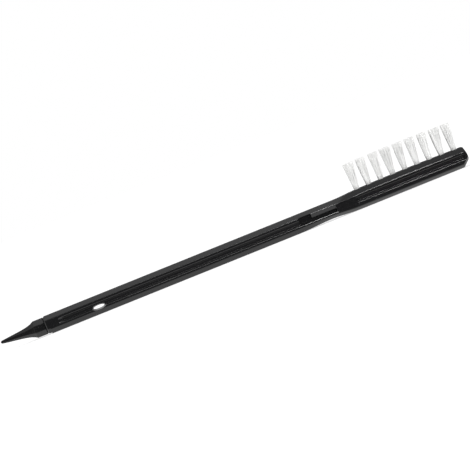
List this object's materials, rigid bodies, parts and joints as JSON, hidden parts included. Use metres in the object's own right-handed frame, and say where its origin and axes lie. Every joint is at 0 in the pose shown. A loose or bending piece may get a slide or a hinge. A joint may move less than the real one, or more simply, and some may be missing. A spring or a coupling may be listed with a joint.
{
  "type": "juicer cleaning brush",
  "caption": "Long slim hand brush for cleaning a juicer: grooved plastic handle, narrow head of short upright nylon tufts at one end and a pointed pick at the other.",
  "frame": {"origin": "centre of the bounding box's base, on the surface that the brush lies on with its bristles up", "axes": "+X along the brush from the point of the pick to the nose of the head, +Z the way the bristles stand, Y across the handle"},
  "size_m": [0.2, 0.01, 0.0193],
  "materials": {
    "handle_plastic": "black injection moulding, polished with a slight haze",
    "pick_plastic": "hard black plastic, satin",
    "nylon": "translucent natural white nylon filament",
    "anchor_wire": "flat drawn wire, cut square"
  },
  "bodies": {
    "root": {"handle_body": "handle_plastic", "pick_tip": "pick_plastic", "tuft_right_1": "nylon", "anchor_right_1": "anchor_wire", "tuft_right_2": "nylon", "anchor_right_2": "anchor_wire", "tuft_right_3": "nylon", "anchor_right_3": "anchor_wire", "tuft_right_4": "nylon", "anchor_right_4": "anchor_wire", "tuft_right_5": "nylon", "anchor_right_5": "anchor_wire", "tuft_right_6": "nylon", "anchor_right_6": "anchor_wire", "tuft_right_7": "nylon", "anchor_right_7": "anchor_wire", "tuft_right_8": "nylon", "anchor_right_8": "anchor_wire", "tuft_right_9": "nylon", "anchor_right_9": "anchor_wire", "tuft_left_1": "nylon", "anchor_left_1": "anchor_wire", "tuft_left_2": "nylon", "anchor_left_2": "anchor_wire", "tuft_left_3": "nylon", "anchor_left_3": "anchor_wire", "tuft_left_4": "nylon", "anchor_left_4": "anchor_wire", "tuft_left_5": "nylon", "anchor_left_5": "anchor_wire", "tuft_left_6": "nylon", "anchor_left_6": "anchor_wire", "tuft_left_7": "nylon", "anchor_left_7": "anchor_wire", "tuft_left_8": "nylon", "anchor_left_8": "anchor_wire", "tuft_left_9": "nylon", "anchor_left_9": "anchor_wire"}
  },
  "joints": []
}
